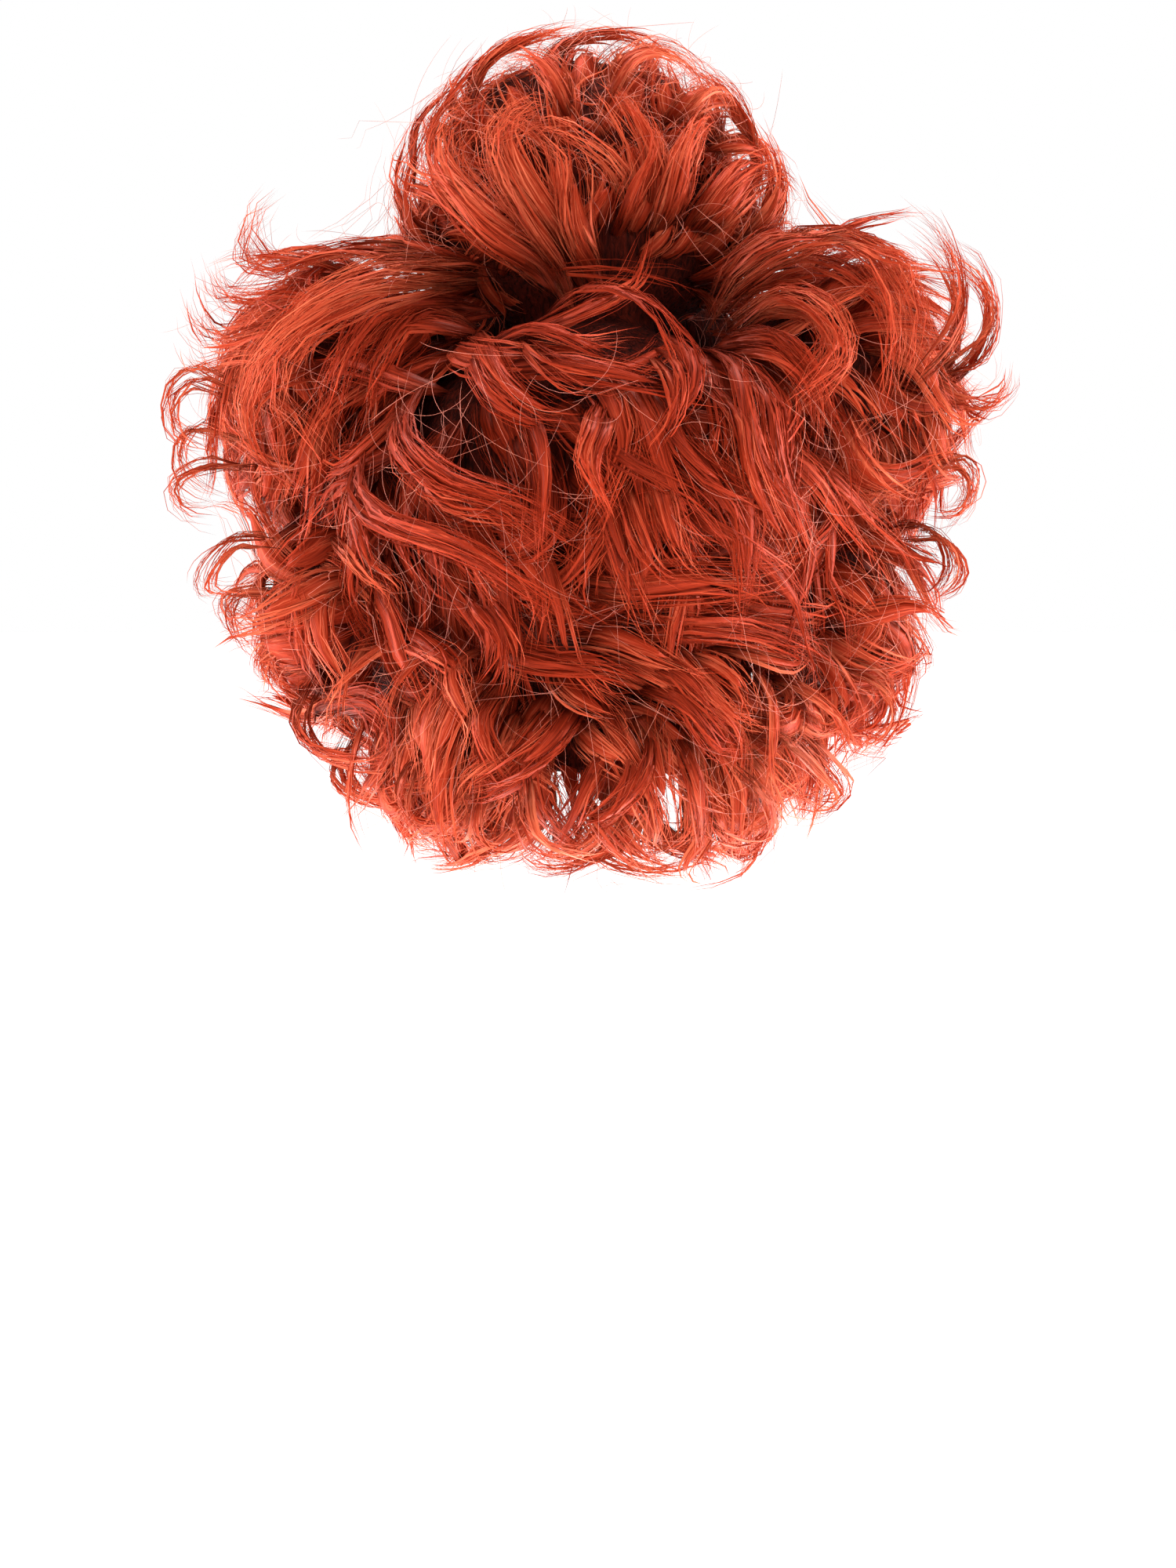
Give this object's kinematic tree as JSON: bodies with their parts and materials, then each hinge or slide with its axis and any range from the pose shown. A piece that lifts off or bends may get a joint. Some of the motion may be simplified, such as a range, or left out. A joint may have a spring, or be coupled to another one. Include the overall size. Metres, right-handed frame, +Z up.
{
  "type": "clown wig",
  "caption": "Curly red clown wig as worn: hollow stretch cap with an edge band, tall top tuft, two side puffs, full curled back and a rolled front.",
  "frame": {"origin": "the point inside the cap where the crown of the wearer's head touches it", "axes": "+Z up, +Y the way the wearer faces, +X the wearer's right; the pictured back of the wig faces -Y"},
  "size_m": [0.3695, 0.3058, 0.3701],
  "materials": {
    "hair": "curled synthetic fibre, soft sheen",
    "cap_net": "matt stretch net",
    "band_elastic": "matt ribbed elastic"
  },
  "bodies": {
    "root": {"cap": "cap_net", "edge_band": "band_elastic", "hair_top": "hair", "hair_front": "hair", "hair_left": "hair", "hair_right": "hair", "hair_back": "hair"}
  },
  "joints": []
}
